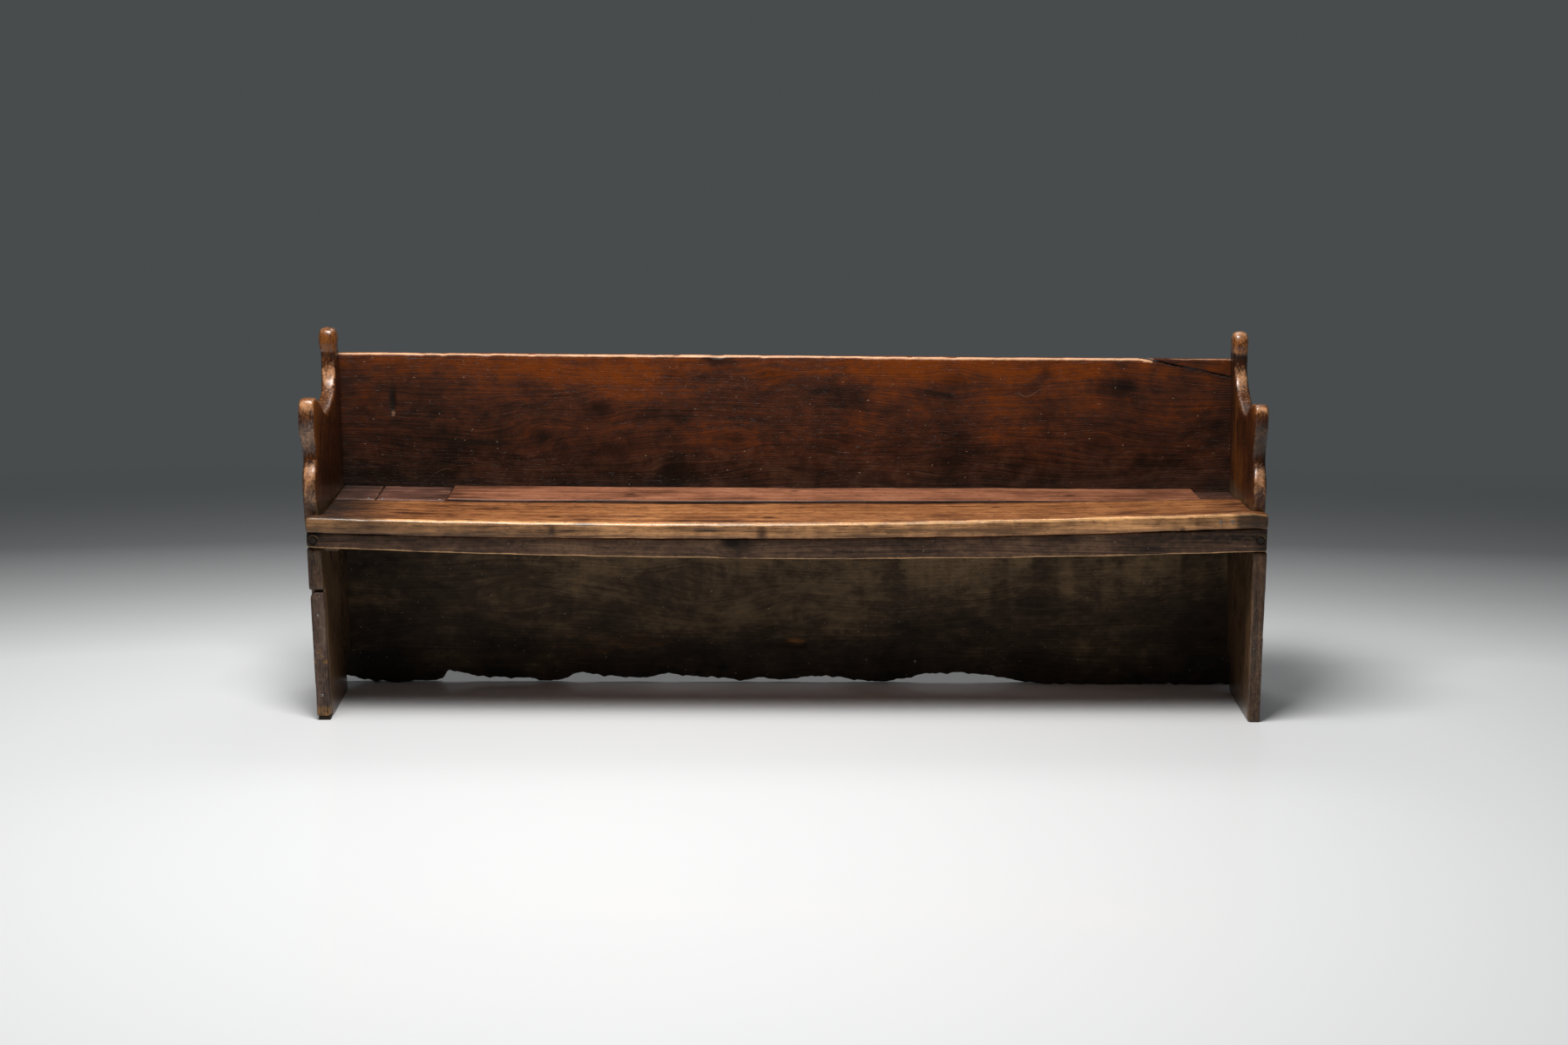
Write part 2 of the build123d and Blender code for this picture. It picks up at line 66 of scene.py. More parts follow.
# Heights and depths that several pieces share
seat_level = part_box("seat_fill_left_outer")[1].z
seat_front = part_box("seat_front_plank")[0].y
seat_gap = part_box("seat_rear_strip")[0].y
foot_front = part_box("left_leg_splice")[0].y
splice_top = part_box("left_leg_splice")[1].z
lobe_height = 0.68
crease_height = 0.742
half_length = (cad_box[1].x - cad_box[0].x) / 2
end_board_reach = 0.034
inner_half = half_length - end_board_reach

# The painted sheen and the painted crease shade on a post lie this far in front of its end board's rear
# edge
post_inset = 0.09

# The lower back board's gnawed edge stays at least this far above the floor
floor_clearance = 0.0005

# An arris that has lost this depth counts as rubbed bare
bare_depth = 0.0015

# A size so wide that a mark hardly changes along that axis
all_over = 9

# The camera stands where the photograph was taken from
camera_place = Vector((-0.0097, -5.5248, 1.6138))
camera_pitch = 0.2171
camera_yaw = 0.0011
camera_roll = 0.0027
camera_lens = 60
camera_sensor = 36

# Soft boxes: where they hang, what they point at, their size and their watts
key_light = {
    "place": (-0.6, -1.0, 3.8),
    "target": (0, -0.2, 0.4),
    "width": 1.9,
    "depth": 1.1,
    "power": 190,
}
back_light = {
    "place": (0.4, 2.2, 3.4),
    "target": (0, 0, 0.5),
    "width": 2.2,
    "depth": 1.2,
    "power": 30,
}

# Even light from all round
sky_colour = (0.95, 0.97, 1.0, 1.0)
sky_strength = 0.11

# The floor is pale round one place in front of the bench. Further off it fades to the backdrop's grey,
# and then glows like it. In that distance, metres along the bench count less.
backdrop = (0.066, 0.072, 0.0745, 1.0)
floor_radius = 30
floor_roughness = 0.13
pale_place = (-0.03, -1, 0)
distance_weights = (0.45, 1, 1)
fade_start = 1.4
fade_end = 3.6
glow_start = 2.5
glow_end = 3.7

# Bands up the front of an arm, which paint the highlights on the lobe and shoulder and a grey sheen as
# well as wear: height, spread, how far rubbed bright, how far dulled grey
arm_marks = {
    LEFT: [
        (0.682, 0.020, 1.00, 0.0),
        (0.605, 0.040, 0.46, 0.8),
        (0.520, 0.030, 0.80, 0.3),
        (0.478, 0.020, 0.40, 0.5),
    ],
    RIGHT: [
        (0.680, 0.020, 0.85, 0.0),
        (0.605, 0.036, 0.0, 1.0),
        (0.520, 0.034, 0.72, 0.3),
        (0.170, 0.050, 0.25, 0.0),
    ],
}

# Knots: place along the grain, place across it, radius
end_board_knots = [
    (0.30, -0.02, 0.012),
    (0.60, 0.06, 0.009),
]
upper_back_knots = [
    (-0.405, 0.621, 0.016),
    (-0.556, 0.561, 0.018),
    (-0.114, 0.549, 0.015),
    (0.135, 0.549, 0.016),
    (-0.042, 0.691, 0.014),
    (0.369, 0.679, 0.018),
    (0.695, 0.547, 0.016),
    (0.347, 0.493, 0.014),
    (0.068, 0.489, 0.012),
    (-0.260, 0.483, 0.013),
]
lower_back_knots = [
    (-0.60, 0.20, 0.020),
    (-0.20, 0.24, 0.034),
    (0.02, 0.16, 0.022),
    (0.33, 0.05, 0.026),
    (0.56, 0.19, 0.012),
]
seat_plank_knots = [
    (-0.49, -0.135, 0.011),
    (-0.035, -0.13, 0.011),
    (0.45, -0.05, 0.007),
    (-0.62, -0.06, 0.006),
]
seat_strip_knots = [
    (-0.34, 0.07, 0.008),
    (0.02, 0.11, 0.007),
    (0.62, 0.06, 0.009),
]
apron_knots = [(-0.113, 0.39, 0.012)]

# Knots that show in the seat's front edge: along, above the floor, radius
seat_edge_knots = [
    (-0.49, 0.418, 0.012),
    (-0.05, 0.412, 0.016),
    (0.83, 0.42, 0.008),
]

# A knot is longer along the grain by this factor, and the grain swerves round it by this share
knot_length = 1.7
grain_swerve = 0.85

# Patches on the back boards: along, above the floor, length, height, strength
upper_back_smudges = [
    (-0.28, 0.61, 0.07, 0.045, 0.9),
    (0.11, 0.655, 0.06, 0.045, 1.0),
    (-0.16, 0.703, 0.07, 0.020, 0.8),
    (0.36, 0.50, 0.06, 0.050, 0.8),
    (-0.27, 0.49, 0.06, 0.040, 0.8),
    (0.07, 0.49, 0.07, 0.030, 0.7),
    (-0.556, 0.561, 0.045, 0.035, 0.8),
    (-0.405, 0.621, 0.04, 0.040, 0.8),
    (0.75, 0.66, 0.10, 0.030, 0.7),
    (0.42, 0.66, 0.05, 0.050, 0.6),
    (-0.72, 0.53, 0.14, 0.060, 0.6),
    (0.55, 0.67, 0.05, 0.020, 0.6),
    (0.82, 0.51, 0.18, 0.040, 0.5),
]
upper_back_warm = [
    (-0.55, 0.70, 0.22, 0.040, 0.5),
    (-0.50, 0.665, 0.05, 0.030, 0.6),
    (-0.33, 0.69, 0.12, 0.040, 0.6),
    (0.00, 0.70, 0.10, 0.030, 0.25),
    (0.28, 0.70, 0.14, 0.030, 0.6),
    (0.79, 0.68, 0.015, 0.040, 0.6),
    (0.55, 0.62, 0.18, 0.060, 0.3),
    (0.16, 0.59, 0.20, 0.040, 0.3),
    (0.56, 0.70, 0.20, 0.030, 0.5),
]
lower_back_pale = [
    (-0.10, 0.31, 0.55, 0.060, 0.55),
    (-0.43, 0.25, 0.08, 0.040, 0.4),
    (0.10, 0.20, 0.25, 0.050, 0.35),
    (-0.20, 0.14, 0.30, 0.030, 0.3),
]
lower_back_ruddy = [
    (-0.35, 0.07, 0.22, 0.050, 0.8),
    (-0.80, 0.30, 0.10, 0.050, 0.5),
]

# Pale scrapes on the apron: along, above the floor, length, height, strength
apron_scrapes = [
    (0.50, 0.395, 0.012, 0.009, 1.0),
    (0.66, 0.40, 0.05, 0.020, 0.5),
]

# Stains on the seat's rear strip: along, from front to back, length
strip_stains = [
    (-0.335, 0.05, 0.02),
    (-0.10, 0.04, 0.03),
]

# Single marks: a dent and a pale chip in the upper back, the broken-out pocket in the lower back,
# a slit in the seat's front edge and an ink blot on the apron
old_dent_place = (-0.867, 0.14, 0.630)
pale_chip_place = (-0.866, 0.14, 0.606)
pocket_place = (0.0202, 0, 0.098)
slit_place = (-0.167, seat_front, 0.418)
ink_place = (-0.105, seat_front, 0.386)


# Smooth random values

lattice_size = 32
lattice = np.random.default_rng(11).uniform(-1, 1, (lattice_size,) * 3)


def noise(points, size, shift=0.0):
    """Smooth values between -1 and 1 that change over about the given size."""
    places = points / np.asarray(size) + shift
    cells = np.floor(places).astype(int)
    part = places - cells
    part = part * part * (3 - 2 * part)
    total = np.zeros(len(points))
    for corner in product((0, 1), repeat=3):
        weight = np.prod(np.where(corner, part, 1 - part), axis=1)
        i, j, k = ((cells + corner) % lattice_size).T
        total += weight * lattice[i, j, k]
    return total


def ramp(values, start, end):
    """0 before start, 1 after end and a smooth rise between them."""
    share = np.clip((values - start) / (end - start), 0, 1)
    return share * share * (3 - 2 * share)


def spot(points, centre, sizes):
    """1 at a centre, falling off over the given sizes along X, Y and Z."""
    away = (points - np.asarray(centre)) / np.asarray(sizes)
    return np.exp(-np.sum(away * away, axis=1))


# Meshes

def vertices(piece):
    flat = np.empty(3 * len(piece.data.vertices))
    piece.data.vertices.foreach_get("co", flat)
    return flat.reshape(-1, 3)


def normals(piece):
    flat = np.empty(3 * len(piece.data.vertices))
    piece.data.vertices.foreach_get("normal", flat)
    return flat.reshape(-1, 3)


def move(piece, points):
    piece.data.vertices.foreach_set("co", points.ravel())
    piece.data.update()


def neighbours(piece):
    flat = np.empty(2 * len(piece.data.edges), dtype=int)
    piece.data.edges.foreach_get("vertices", flat)
    return flat.reshape(-1, 2).T


def even_copy(node, face_size):
    """Copy of a node's solid, covered in even faces of about one size that lie on its surface."""
    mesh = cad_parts[node].data.copy()
    welded = bmesh.new()
    welded.from_mesh(mesh)
    bmesh.ops.remove_doubles(welded, verts=welded.verts, dist=1e-6)
    welded.to_mesh(mesh)
    welded.free()
    piece = bpy.data.objects.new(node + "_worn", mesh)
    surface = bpy.data.objects.new(node + "_surface", mesh)
    for item in (piece, surface):
        bpy.context.scene.collection.objects.link(item)
    remesh = piece.modifiers.new("even faces", "REMESH")
    remesh.mode = "VOXEL"
    remesh.voxel_size = face_size
    remesh.use_smooth_shade = True
    snap = piece.modifiers.new("on the surface", "SHRINKWRAP")
    snap.target = surface
    shaped = piece.evaluated_get(bpy.context.evaluated_depsgraph_get())
    even = bpy.data.meshes.new_from_object(shaped)
    piece.modifiers.clear()
    piece.data = even
    even.materials.clear()
    bpy.data.objects.remove(surface)
    bpy.data.meshes.remove(mesh)
    return piece


def rub_arrises(piece, strength, rounds):
    """Rounds the arrises. Gives how much of each point was rubbed off, from 0 to 1."""
    start = vertices(piece)
    outward = normals(piece)
    points = start.copy()
    first, second = neighbours(piece)
    count = len(points)
    degree = np.bincount(first, minlength=count) + np.bincount(second, minlength=count)
    pull = 0.5 * np.clip(strength, 0, 1)
    for _ in range(rounds):
        for axis in (X, Y, Z):
            line = points[:, axis]
            total = np.bincount(first, line[second], count) + np.bincount(second, line[first], count)
            points[:, axis] = line + pull * (total / degree - line)
    move(piece, points)
    lost = np.sum((start - points) * outward, axis=1)
    return np.clip(lost / bare_depth, 0, 1)


def dent(piece, depths):
    """Pushes points inwards along their normals."""
    move(piece, vertices(piece) - normals(piece) * depths[:, None])


def weather(piece, edge, wave=0.0005, nick=0.0025, nick_size=(0.03, 0.03, 0.03)):
    """Uneven faces from hand tools, and nicks along the arrises."""
    points = vertices(piece)
    waves = wave * noise(points, 0.11) + 0.4 * wave * noise(points, 0.03, 5.3)
    nicks = nick * edge * np.clip(noise(points, nick_size, 9.1) - 0.25, 0, 1)
    dent(piece, waves + nicks)


def store(piece, name, columns):
    """Keeps three values at every point for the material to read."""
    values = np.stack([np.broadcast_to(column, len(piece.data.vertices)) for column in columns], axis=1)
    attribute = piece.data.attributes.new(name, "FLOAT_VECTOR", "POINT")
    attribute.data.foreach_set("vector", np.ascontiguousarray(values, dtype=np.float32).ravel())


def store_grain(piece, along, across, knots=()):
    """Keeps the run of the grain, which flows round the knots. Gives how near a knot each point is."""
    points = vertices(piece)
    through = 3 - along - across
    course = points[:, across].copy()
    near = np.zeros(len(points))
    for place, height, radius in knots:
        beside = (points[:, along] - place) / knot_length
        above = points[:, across] - height
        square = beside**2 + above**2
        course -= grain_swerve * above * np.exp(-square / (2 * radius) ** 2)
        near = np.maximum(near, np.exp(-square / radius**2))
    store(piece, "grain", (points[:, along], course, points[:, through]))
    return near


def dress(piece, node, material):
    """Hands a finished piece to the frame in place of its node."""
    piece.data.materials.append(material)
    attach(piece, "root")
    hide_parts(node)


# Materials

class Graph:
    """A material's nodes, made by short calls."""

    def __init__(self, name):
        self.material = bpy.data.materials.new(name)
        self.material.use_nodes = True
        self.tree = self.material.node_tree
        self.shader = self.tree.nodes["Principled BSDF"]

    def put(self, kind, inputs=(), **settings):
        node = self.tree.nodes.new("ShaderNode" + kind)
        for key, value in settings.items():
            setattr(node, key, value)
        for key, value in dict(inputs).items():
            self.join(node.inputs[key], value)
        return node

    def join(self, socket, value):
        if isinstance(value, bpy.types.NodeSocket):
            self.tree.links.new(value, socket)
        else:
            socket.default_value = value

    def math(self, operation, *values):
        node = self.put("Math", operation=operation)
        for socket, value in zip(node.inputs, values):
            self.join(socket, value)
        return node.outputs[0]

    def parts(self, name):
        """The three values kept at every point under a name."""
        vector = self.put("Attribute", attribute_name=name).outputs["Vector"]
        return self.put("SeparateXYZ", {0: vector}).outputs

    def swaying_grain(self, sway):
        """The run of the grain, which wanders sideways by up to about half the sway."""
        self.grain = self.put("Attribute", attribute_name="grain").outputs["Vector"]
        drift = self.noise((1.3, 5, 5), detail=2.0)
        aside = self.math("MULTIPLY", self.math("SUBTRACT", drift, 0.5), sway)
        shift = self.put("CombineXYZ", {1: aside}).outputs[0]
        self.grain = self.put("VectorMath", {0: self.grain, 1: shift}, operation="ADD").outputs[0]

    def scaled_grain(self, scale):
        """Places in the wood, scaled along, across and through the grain."""
        return self.put("VectorMath", {0: self.grain, 1: scale}, operation="MULTIPLY").outputs[0]

    def noise(self, scale, detail=3.0, roughness=0.55):
        """Noise with its scale along, across and through the grain."""
        place = self.scaled_grain(scale)
        inputs = {"Vector": place, "Scale": 1.0, "Detail": detail, "Roughness": roughness}
        return self.put("TexNoise", inputs).outputs["Fac"]

    def flecks(self, share):
        """Small round flecks in a share of all cells, which are longer along the grain."""
        cells = self.put("TexVoronoi", {"Vector": self.scaled_grain((55, 120, 120)), "Scale": 1.0})
        chosen = self.put("SeparateColor", {0: cells.outputs["Color"]}).outputs[0]
        size = self.span(chosen, 1.0 - share, 1.0, 0.0, 0.12)
        return self.math("LESS_THAN", cells.outputs["Distance"], size)

    def hairlines(self, scale, width, cover):
        """Long thin lines where a slow noise passes its middle value, broken into lengths."""
        level = self.math("ABSOLUTE", self.math("SUBTRACT", self.noise(scale, detail=2.0), 0.5))
        line = self.span(level, 0.0, width, 1.0, 0.0)
        lengths = self.noise((4.3, 9, 9), detail=2.0)
        return self.math("MULTIPLY", line, self.span(lengths, 0.62 - cover, 0.68 - cover))

    def patchy(self, mask, flakes):
        """A mask whose half-covered parts break up into flakes."""
        uneven = self.add(mask, flakes, 0.9)
        return self.span(uneven, 0.25, 0.8)

    def add(self, value, signal, weight):
        """Adds a signal that swings about one half."""
        return self.math("MULTIPLY_ADD", self.math("SUBTRACT", signal, 0.5), weight, value)

    def span(self, value, low, high, to_low=0.0, to_high=1.0):
        inputs = {0: value, 1: low, 2: high, 3: to_low, 4: to_high}
        return self.put("MapRange", inputs, clamp=True).outputs[0]

    def blend(self, factor, first, second):
        """Mixes two colours, which are the node's inputs 6 and 7 and its output 2."""
        return self.put("Mix", {0: factor, 6: first, 7: second}, data_type="RGBA").outputs[2]

    def colours(self, value, stops):
        node = self.put("ValToRGB", {0: value})
        elements = node.color_ramp.elements
        while len(elements) < len(stops):
            elements.new(0.5)
        for element, (place, colour) in zip(elements, stops):
            element.position = place
            element.color = colour
        return node.outputs["Color"]

    def finish(self, colour, roughness, height, strength, depth):
        """Gives the shader its colour, its roughness and a relief of some strength and depth."""
        bump = self.put("Bump", {"Strength": strength, "Distance": depth, "Height": height})
        self.join(self.shader.inputs["Base Color"], colour)
        self.join(self.shader.inputs["Roughness"], roughness)
        self.join(self.shader.inputs["Normal"], bump.outputs["Normal"])


def rgb(red, green, blue):
    return (red, green, blue, 1.0)


def shade(colour, factor):
    return tuple(factor * part for part in colour[:3]) + (1.0,)


# Near-black for dirt and for painted shade in gaps, cracks and creases
dirt_and_shade_colour = rgb(0.009, 0.007, 0.0055)
scuff_colour = rgb(0.22, 0.15, 0.10)
fleck_colour = rgb(0.46, 0.36, 0.26)


def old_wood(name, dark, mid, light, worn, bare, grain=0.0065, through=1.0, rings=0.009, sway=0.06,
             contrast=1.0, mottle=0.4, flaking=1.0, soot=0.0, knots=0.85, cracks=0.0, scratches=0.0,
             grains=0.0, wisps=0.0, speck=0.2, rough=0.42, shine=0.15, haze=0.22):
    """Old wood: rings and streaks along the grain, knots, patina, soot, rubbed arrises and soiling, where
    the rubbed arrises also carry painted highlights and sheen and the soiling also carries painted shade.

    The grain and the rings are spacings in metres, and sway is how far they wander. Through is how much
    finer the grain is in the thickness, and flaking how much finer the flakes are. Contrast and mottle are
    the strength of the streaks and of the flakes. Soot, knots, cracks, scratches, grains (pale pores),
    wisps (pale drips) and speck (flecks) are how much of each shows. Rough is the roughness of the wood,
    shine the polish of handled places and haze the roughness of that polish.
    """
    graph = Graph(name)
    # Edge carries rubbed arrises and painted highlights, grime carries dirt and painted shade
    edge, grime_and_shade, knot = graph.parts("wear_and_painted_light")
    lighter, darker, bared_and_sheen = graph.parts("tone")
    graph.swaying_grain(sway)
    across = graph.put("SeparateXYZ", {0: graph.grain}).outputs[1]
    fine = np.array((0.0, 1.0, through)) / grain

    late = graph.math("POWER", graph.math("FRACT", graph.math("DIVIDE", across, rings)), 2.5)
    streaks = graph.noise(fine + (2.5, 0, 0), detail=4.0, roughness=0.6)
    fibres = graph.noise(2.8 * fine + (13, 0, 0), detail=3.0, roughness=0.6)
    pores = graph.noise(2.2 * fine + (60, 0, 0), detail=2.0)
    clouds = graph.noise((5.0, 9, 9), detail=6.0, roughness=0.62)
    smoke = graph.noise((8.5, 11, 11), detail=6.0, roughness=0.66)
    flakes = graph.noise(flaking * np.array((34, 46, 46)), detail=5.0, roughness=0.6)

    value = graph.add(0.5, streaks, 1.15 * contrast)
    value = graph.add(value, fibres, 1.0 * contrast)
    value = graph.math("MULTIPLY_ADD", late, -0.22 * contrast, value)
    value = graph.add(value, clouds, 1.5)
    value = graph.add(value, flakes, mottle)
    value = graph.math("MULTIPLY_ADD", lighter, 0.5, value)
    value = graph.math("MULTIPLY_ADD", darker, -0.4, value)
    colour = graph.colours(value, [(0.05, dark), (0.5, mid), (1.0, light)])

    # Bare grey wood, which on the end boards also paints a grey sheen
    bare_and_sheen_colour = graph.colours(value, [(0.15, shade(bare, 0.35)), (0.55, bare), (0.9, shade(bare, 1.7))])
    colour = graph.blend(graph.patchy(bared_and_sheen, flakes), colour, bare_and_sheen_colour)
    smoke_bias = graph.math("MULTIPLY_ADD", darker, 0.22, smoke)
    sooty = graph.math("MULTIPLY", graph.span(smoke_bias, 0.53, 0.74), soot)
    colour = graph.blend(sooty, colour, shade(dark, 0.4))
    knotty = graph.math("MULTIPLY", graph.patchy(knot, flakes), knots)
    colour = graph.blend(knotty, colour, shade(dark, 0.4))
    # Worn wood on rubbed arrises, which on the end boards and the seat's nosing also paints highlights
    worn_and_highlight_colour = graph.colours(value, [(0.1, shade(worn, 0.4)), (0.5, shade(worn, 0.8)), (0.85, worn)])
    colour = graph.blend(graph.patchy(edge, flakes), colour, worn_and_highlight_colour)

    pore_mask = graph.math("MULTIPLY", graph.span(pores, 0.57, 0.70), 0.5 * contrast)
    colour = graph.blend(pore_mask, colour, shade(dark, 0.7))
    pale_pores = graph.math("MULTIPLY", graph.span(pores, 0.42, 0.32), lighter)
    colour = graph.blend(graph.math("MULTIPLY", pale_pores, grains), colour, shade(light, 1.3))
    drips = graph.span(graph.noise((95, 4, 4), detail=4.0), 0.50, 0.68)
    wiped = graph.math("MULTIPLY", drips, graph.span(lighter, 0.35, 0.75))
    wipes = graph.math("MULTIPLY", wiped, wisps)
    colour = graph.blend(wipes, colour, light)
    splits = graph.math("MULTIPLY", graph.hairlines((1.2, 30, 30), 0.022, 0.06), cracks)
    colour = graph.blend(splits, colour, shade(dark, 0.3))
    # Dirt, and painted shade where a piece puts it
    dirt_and_shade = graph.math("MULTIPLY", grime_and_shade, graph.span(clouds, 0.3, 0.65, 1.0, 0.75))
    colour = graph.blend(dirt_and_shade, colour, dirt_and_shade_colour)
    scuffs = graph.math("MULTIPLY", graph.hairlines((6, 7, 7), 0.006, 0.0), scratches)
    colour = graph.blend(scuffs, colour, scuff_colour)
    colour = graph.blend(graph.math("MULTIPLY", graph.flecks(speck), 0.5), colour, fleck_colour)

    gloss = graph.add(rough, clouds, 0.25)
    gloss = graph.add(gloss, fibres, 0.15)
    gloss = graph.math("MULTIPLY_ADD", grime_and_shade, 0.25, gloss)
    relief = graph.math("MULTIPLY_ADD", streaks, 1.0, graph.math("MULTIPLY", fibres, 0.7))
    relief = graph.math("MULTIPLY_ADD", late, 0.12, relief)
    relief = graph.math("MULTIPLY_ADD", flakes, 0.7, relief)
    relief = graph.math("MULTIPLY_ADD", graph.math("MAXIMUM", pore_mask, splits), -0.9, relief)
    graph.finish(colour, gloss, relief, strength=0.55, depth=0.0018)

    graph.shader.inputs["Specular IOR Level"].default_value = 0.15
    handled = graph.math("MAXIMUM", edge, lighter)
    graph.join(graph.shader.inputs["Coat Weight"], graph.span(handled, 0.0, 0.8, 0.3 * shine, shine))
    graph.shader.inputs["Coat Roughness"].default_value = haze
    return graph.material


def forged_iron():
    """Dark hammered iron with rubbed, brighter spots."""
    graph = Graph("forged_iron")
    place = graph.put("TexCoord").outputs["Object"]
    pits = graph.put("TexNoise", {"Vector": place, "Scale": 600.0, "Detail": 4.0}).outputs["Fac"]
    rust = rgb(0.05, 0.038, 0.03)
    scale = rgb(0.2, 0.18, 0.16)
    polish = rgb(0.5, 0.47, 0.43)
    colour = graph.colours(pits, [(0.3, rust), (0.55, scale), (0.8, polish)])
    graph.finish(colour, graph.span(pits, 0.3, 0.7, 0.6, 0.35), pits, strength=0.4, depth=0.0006)
    graph.shader.inputs["Metallic"].default_value = 0.85
    return graph.material


def end_wood():
    return old_wood(
        "end_board_wood",
        dark=rgb(0.012, 0.0045, 0.002),
        mid=rgb(0.046, 0.0125, 0.0036),
        light=rgb(0.20, 0.064, 0.010),
        worn=rgb(0.62, 0.30, 0.14),
        bare=rgb(0.094, 0.052, 0.026),
        rings=0.011,
        contrast=0.8,
        mottle=0.8,
        flaking=4.5,
        soot=0.3,
        cracks=0.4,
        speck=0.15,
        rough=0.28,
        shine=1.0,
        haze=0.27,
    )


def upper_back_wood():
    return old_wood(
        "upper_back_wood",
        dark=rgb(0.016, 0.0078, 0.0048),
        mid=rgb(0.065, 0.0193, 0.0083),
        light=rgb(0.165, 0.034, 0.0022),
        worn=rgb(0.72, 0.40, 0.22),
        bare=rgb(0.060, 0.033, 0.021),
        grain=0.0045,
        rings=0.0055,
        sway=0.12,
        contrast=0.75,
        mottle=1.0,
        soot=0.6,
        knots=0.35,
        scratches=0.35,
        cracks=0.25,
        speck=0.35,
        rough=0.28,
        shine=0.05,
    )


def lower_back_wood():
    return old_wood(
        "lower_back_wood",
        dark=rgb(0.016, 0.0105, 0.0060),
        mid=rgb(0.066, 0.042, 0.023),
        light=rgb(0.20, 0.132, 0.068),
        worn=rgb(0.42, 0.17, 0.045),
        bare=rgb(0.13, 0.045, 0.014),
        grain=0.005,
        rings=0.008,
        sway=0.16,
        contrast=0.42,
        mottle=1.0,
        soot=0.6,
        knots=0.3,
        scratches=0.12,
        grains=0.8,
        wisps=0.7,
        cracks=0.2,
        speck=0.7,
        rough=0.6,
        shine=0.02,
    )


def seat_plank_wood():
    return old_wood(
        "seat_plank_wood",
        dark=rgb(0.065, 0.021, 0.0075),
        mid=rgb(0.278, 0.102, 0.034),
        light=rgb(0.47, 0.20, 0.070),
        worn=rgb(0.88, 0.45, 0.165),
        bare=rgb(0.45, 0.222, 0.092),
        grain=0.018,
        through=2.6,
        rings=0.03,
        sway=0.04,
        mottle=0.7,
        cracks=0.9,
        speck=0.05,
        rough=0.34,
        shine=0.7,
    )


def seat_strip_wood():
    return old_wood(
        "seat_strip_wood",
        dark=rgb(0.09, 0.033, 0.017),
        mid=rgb(0.285, 0.108, 0.055),
        light=rgb(0.43, 0.185, 0.10),
        worn=rgb(0.68, 0.42, 0.24),
        bare=rgb(0.16, 0.09, 0.055),
        grain=0.02,
        rings=0.03,
        sway=0.04,
        contrast=0.85,
        cracks=0.6,
        speck=0.04,
        rough=0.36,
        shine=0.25,
    )


def seat_fill_wood():
    return old_wood(
        "seat_fill_wood",
        dark=rgb(0.03, 0.015, 0.010),
        mid=rgb(0.125, 0.052, 0.034),
        light=rgb(0.23, 0.115, 0.078),
        worn=rgb(0.40, 0.27, 0.19),
        bare=rgb(0.09, 0.06, 0.045),
        grain=0.018,
        rings=0.03,
        soot=0.3,
        cracks=0.6,
        speck=0.05,
        rough=0.38,
        shine=0.25,
    )


def apron_wood():
    return old_wood(
        "apron_wood",
        dark=rgb(0.016, 0.0098, 0.0065),
        mid=rgb(0.084, 0.045, 0.027),
        light=rgb(0.20, 0.112, 0.062),
        worn=rgb(0.62, 0.35, 0.16),
        bare=rgb(0.06, 0.042, 0.032),
        grain=0.005,
        rings=0.012,
        sway=0.03,
        contrast=0.8,
        mottle=0.9,
        flaking=2.0,
        soot=0.4,
        cracks=0.4,
        grains=0.6,
        speck=0.45,
        rough=0.5,
        shine=0.05,
    )


def splice_wood():
    return old_wood(
        "splice_wood",
        dark=rgb(0.018, 0.012, 0.009),
        mid=rgb(0.076, 0.048, 0.036),
        light=rgb(0.17, 0.110, 0.078),
        worn=rgb(0.28, 0.17, 0.10),
        bare=rgb(0.26, 0.13, 0.042),
        mottle=1.0,
        flaking=2.4,
        soot=0.5,
        cracks=0.6,
        speck=0.3,
        rough=0.5,
        shine=0.1,
    )


def cleat_wood():
    return old_wood(
        "cleat_wood",
        dark=rgb(0.03, 0.02, 0.013),
        mid=rgb(0.10, 0.069, 0.043),
        light=rgb(0.20, 0.145, 0.09),
        worn=rgb(0.24, 0.17, 0.11),
        bare=rgb(0.08, 0.055, 0.036),
        cracks=0.4,
        rough=0.65,
        shine=0.0,
    )


def dark_wood(name):
    return old_wood(
        name,
        dark=rgb(0.006, 0.005, 0.004),
        mid=rgb(0.022, 0.016, 0.011),
        light=rgb(0.06, 0.043, 0.03),
        worn=rgb(0.08, 0.055, 0.036),
        bare=rgb(0.02, 0.014, 0.010),
        speck=0.1,
        rough=0.6,
        shine=0.05,
    )


# Boards

def warp_end_board(piece, side):
    """Lets the wood of an end board bow outwards and swell: its two faces move by different amounts."""
    points = vertices(piece)
    height = points[:, Z]
    at_front = ramp(-points[:, Y], -0.10, 0.13)
    leg = ramp(height, 0.15, 0.32) * ramp(-height, -0.46, -0.42)
    arm = ramp(height, seat_level - 0.08, seat_level + 0.02) * at_front
    post = ramp(height, crease_height - 0.10, crease_height - 0.03) * (1 - at_front)
    finial = ramp(height, crease_height - 0.01, crease_height + 0.01)
    if side == LEFT:
        neck = np.exp(-(((height - 0.615) / 0.04) ** 2))
        outer = 0.003 * leg * at_front + (0.008 + 0.0035 * neck) * arm + 0.0036 * post + 0.0014 * finial
        inner = (0.008 - 0.0035 * ramp(height, 0.48, 0.69)) * arm
    else:
        outer = 0.0022 * leg * at_front - 0.0015 * arm - 0.0025 * post
        inner = -0.0025 * post
        lobe = ramp(height, 0.64, 0.70) * at_front
        points[:, Z] -= 0.0045 * finial * ramp(height, crease_height, cad_box[1].z) + 0.004 * lobe
    to_outside = np.clip((side * points[:, X] - inner_half) / (half_length - inner_half), 0, 1)
    points[:, X] += side * (outer * to_outside + inner * (1 - to_outside))
    move(piece, points)


